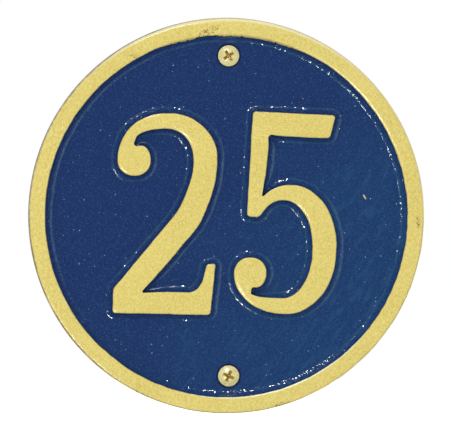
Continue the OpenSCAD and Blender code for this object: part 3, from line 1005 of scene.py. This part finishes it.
def screw_mesh(brass):
    """A whole screw, lying with its axis upwards at the origin, in millimetres."""
    blank = as_object("screw_blank", screw_blank())
    cutters = [as_object("recess_cutter", recess_arm(turn)) for turn in (0, math.pi / 2)]
    for cutter in cutters:
        cut = blank.modifiers.new("recess", "BOOLEAN")
        cut.object = cutter
        cut.operation = "DIFFERENCE"
        cut.solver = "EXACT"
    soften = blank.modifiers.new("soft_edges", "BEVEL")
    soften.width = 0.07
    soften.segments = 2
    soften.limit_method = "ANGLE"
    soften.angle_limit = math.radians(32)
    depsgraph = bpy.context.evaluated_depsgraph_get()
    turned = bpy.data.meshes.new_from_object(blank.evaluated_get(depsgraph))
    for spare in (blank, *cutters):
        bpy.data.objects.remove(spare)
    turned.materials.clear()
    turned.materials.append(brass)
    turns = int((THREAD_TOP - TIP - 0.4) / PITCH)
    thread = grown_mesh("screw_thread", thread_tree(), bpy.data.meshes.new("thread_start"), {
        "Crest radius": CREST_RADIUS, "Core radius": CORE_RADIUS, "Pitch": PITCH, "Turns": turns,
        "Point length": POINT_LENGTH, "Brass": brass,
    })
    thread.transform(Matrix.Translation((0, 0, THREAD_TOP - 0.7)))
    both = bmesh.new()
    both.from_mesh(turned)
    both.from_mesh(thread)
    mesh = bpy.data.meshes.new("wall_screw")
    both.to_mesh(mesh)
    both.free()
    mesh.materials.append(brass)
    mesh.shade_smooth()
    mesh.set_sharp_from_angle(angle=math.radians(40))
    return mesh


def placed_screw(name, screw, x, y, turn):
    """A copy of the screw in its hole, upright and in metres."""
    mesh = screw.copy()
    mesh.name = name
    upright = Matrix.Scale(0.001, 4) @ Matrix.Rotation(math.radians(90), 4, "X")
    mesh.transform(upright @ Matrix.Translation((x, y, 0)) @ Matrix.Rotation(math.radians(turn), 4, "Z"))
    return as_object(name, mesh)


# Pieces

enamel = painted_face()
metal = bare_casting()
dull = dull_enamel()
brass = screw_brass()

casting_mesh = plaque_mesh()
for coat in (enamel, metal, dull):
    casting_mesh.materials.append(coat)
grains = grown_mesh("sand_grains", sand_grain_tree(), casting_mesh, {"Paint": enamel})
grains.polygons.foreach_set("material_index", [GLOSS] * len(grains.polygons))
whole = bmesh.new()
whole.from_mesh(casting_mesh)
whole.from_mesh(grains)
whole.to_mesh(casting_mesh)
whole.free()
plaque = as_object("plaque_casting", casting_mesh)
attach(plaque, "root")
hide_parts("plaque")

screw = screw_mesh(brass)
for name, (x, y, turn) in SCREW_PLACES.items():
    piece = placed_screw(name, screw, x, y, turn)
    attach(piece, "root")
    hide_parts("wall_screws")


# Studio


def table_top():
    """A pale table under the plaque, lifted to white where it is seen and dim in the paint's gloss."""
    mesh = bpy.data.meshes.new("table_top")
    low, side, front, back = -0.136, 1.6, -0.16, 1.4
    corners = [(-side, front, low), (side, front, low), (side, back, low), (-side, back, low)]
    mesh.from_pydata(corners, [], [(0, 1, 2, 3)])
    table = as_object("table_top", mesh)
    material, w = empty_material("table_white")
    rays = w.add("ShaderNodeLightPath").outputs
    pale = w.between(rays["Is Glossy Ray"], 0.88, 0.1)
    matt = w.add("ShaderNodeBsdfDiffuse", {"Color": w.join(pale, pale, pale)})
    seen = w.math("MAXIMUM", rays["Is Camera Ray"], rays["Is Transmission Ray"])
    lift = w.add("ShaderNodeEmission", {"Color": (1.0, 1.0, 1.0, 1.0), "Strength": w.times(seen, 0.8)})
    total = w.add("ShaderNodeAddShader", {0: matt.outputs[0], 1: lift.outputs[0]})
    w.add("ShaderNodeOutputMaterial", {"Surface": total.outputs[0]})
    mesh.materials.append(material)


def studio_world(level, front_level):
    """White where it is seen, darker in reflections from the camera's side, and plain grey as a light."""
    world = bpy.data.worlds.new("studio")
    bpy.context.scene.world = world
    world.use_nodes = True
    world.node_tree.nodes.clear()
    w = Wiring(world.node_tree)
    rays = w.add("ShaderNodeLightPath").outputs
    direction = w.split(w.add("ShaderNodeTexCoord").outputs["Generated"])
    behind = w.step(direction[1], -0.1, 0.3, front_level, 1.0)
    strength = w.between(rays["Is Glossy Ray"], level, behind)
    seen = w.math("MAXIMUM", rays["Is Camera Ray"], rays["Is Transmission Ray"])
    strength = w.between(seen, strength, 1.0)
    sky = w.add("ShaderNodeBackground", {"Color": (1.0, 1.0, 1.0, 1.0), "Strength": strength})
    w.add("ShaderNodeOutputWorld", {"Surface": sky.outputs[0]})


def lamp(name, direction, distance, size, power, colour=(1.0, 1.0, 1.0)):
    """A square soft lamp, aimed at the middle of the plaque."""
    light = bpy.data.lights.new(name, "AREA")
    light.shape = "SQUARE"
    light.size = size
    light.energy = power
    light.color = colour
    made = as_object(name, light)
    towards = Vector(direction).normalized()
    made.location = towards * distance
    made.rotation_euler = towards.to_track_quat("Z", "Y").to_euler()
    made.visible_camera = False


def camera():
    """A long lens a little above and left of the axis, with the disc just right of the picture's middle."""
    picture_width = 451
    disc_radius = 197.9
    pixel = OUTER_RADIUS / disc_radius / 1000
    distance = 3.0
    sensor = 36.0
    data = bpy.data.cameras.new("camera")
    data.sensor_width = sensor
    data.lens = sensor * distance / (picture_width * pixel)
    data.clip_start = 0.1
    data.clip_end = 40.0
    made = as_object("camera", data)
    towards = Vector((-0.016, -1.0, 0.031)).normalized()
    made.location = Vector((-0.6 * pixel, 0.0, -0.4 * pixel)) + towards * distance
    made.rotation_euler = towards.to_track_quat("Z", "Y").to_euler()
    bpy.context.scene.camera = made


table_top()
studio_world(level=0.64, front_level=0.08)
lamp("upper_lamp", (-0.24, -1.0, 0.79), 1.1, 0.1, 2.9, (0.97, 1.0, 0.98))
lamp("overhead_lamp", (-0.5, -0.45, 1.0), 1.1, 0.25, 0.25)
lamp("lower_left_lamp", (-0.32, -1.0, -0.32), 0.9, 0.09, 1.15, (0.92, 1.0, 0.97))
lamp("broad_right_lamp", (0.66, -1.0, -0.2), 1.4, 0.9, 1.12, (0.86, 1.0, 0.92))
camera()
bpy.context.scene.view_settings.view_transform = "Standard"
